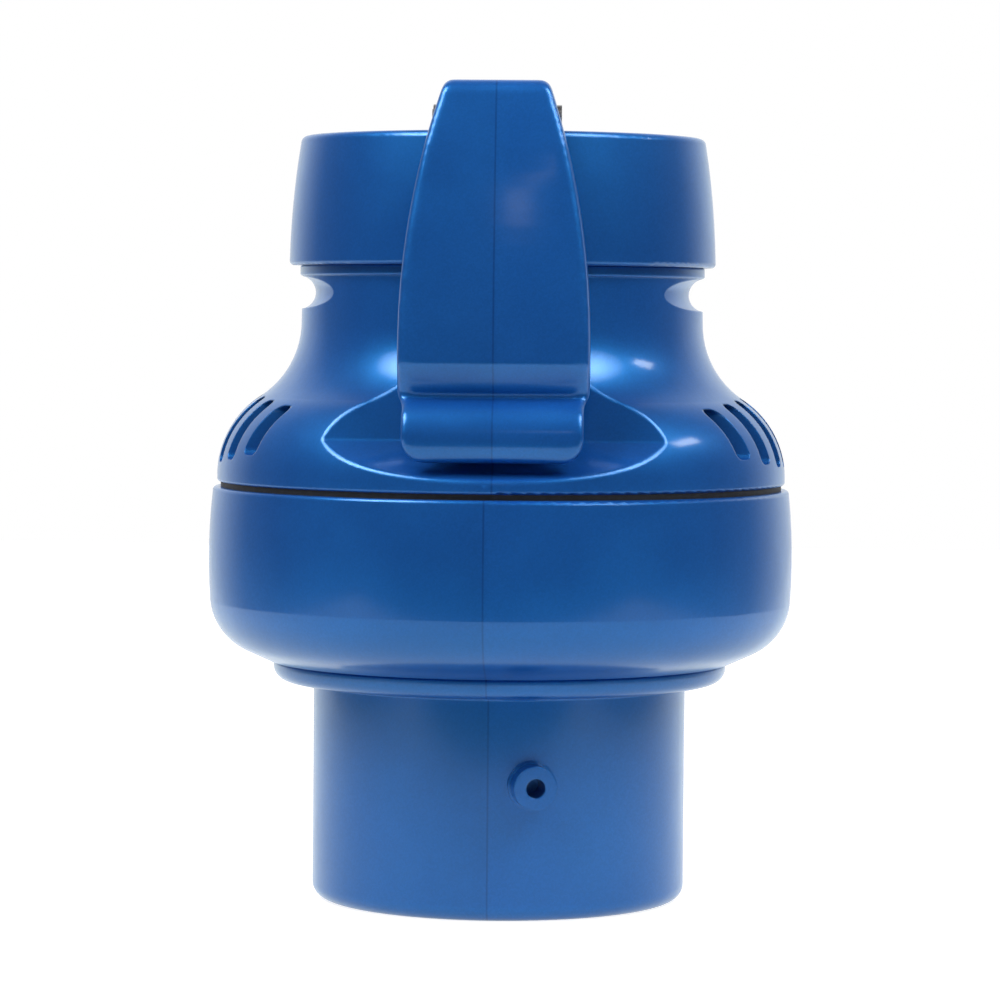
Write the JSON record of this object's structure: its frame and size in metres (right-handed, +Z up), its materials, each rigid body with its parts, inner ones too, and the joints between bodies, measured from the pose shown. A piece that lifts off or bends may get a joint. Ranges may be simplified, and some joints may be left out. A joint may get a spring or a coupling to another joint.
{
  "type": "flow regulator valve",
  "caption": "Hose flow regulator with a vented shoulder, a spring-loaded bypass poppet and a cam lever that clamps the hose cuff.",
  "frame": {"origin": "on the hose axis, at the foot of the outlet spigot", "axes": "+Z up along the hose axis towards the hose socket; the lever is on the -Y side"},
  "size_m": [0.0782, 0.0782, 0.1082],
  "materials": {
    "blue_housing": "pearl gloss",
    "inner_blue": "satin",
    "black_rubber": "matt",
    "white_bearing": "matt",
    "stainless": "satin"
  },
  "bodies": {
    "valve_body": {"outlet_spigot": "blue_housing", "lower_housing": "blue_housing", "upper_housing": "blue_housing", "hose_collar": "blue_housing", "hose_seal": "black_rubber", "housing_gasket": "black_rubber", "seat_gasket": "black_rubber", "flow_tube": "inner_blue", "tube_upper_seal": "black_rubber", "tube_lower_seal": "black_rubber", "valve_seat": "inner_blue", "spring_seat": "stainless", "regulator_spring": "stainless", "lever_pin": "stainless", "pin_clip": "stainless", "lever_washer_right": "white_bearing", "lever_washer_left": "white_bearing"},
    "poppet": {"poppet": "inner_blue", "poppet_seal": "black_rubber", "poppet_bush": "white_bearing", "bush_retaining_ring": "stainless"},
    "lever": {"lever": "blue_housing", "cam_pad": "black_rubber"}
  },
  "joints": [
    {"name": "poppet_opening", "type": "slide", "parent": "valve_body", "child": "poppet", "axis": [0, 0, -1], "range_m": [0, 0.005], "stiffness_N_per_m": 400, "springref_m": -0.01, "deforming": ["regulator_spring"]},
    {"name": "lever_hinge", "type": "hinge", "parent": "valve_body", "child": "lever", "pos_m": [0, -0.0282, 0.1036], "axis": [-1, 0, 0], "range_deg": [0, 90]}
  ]
}
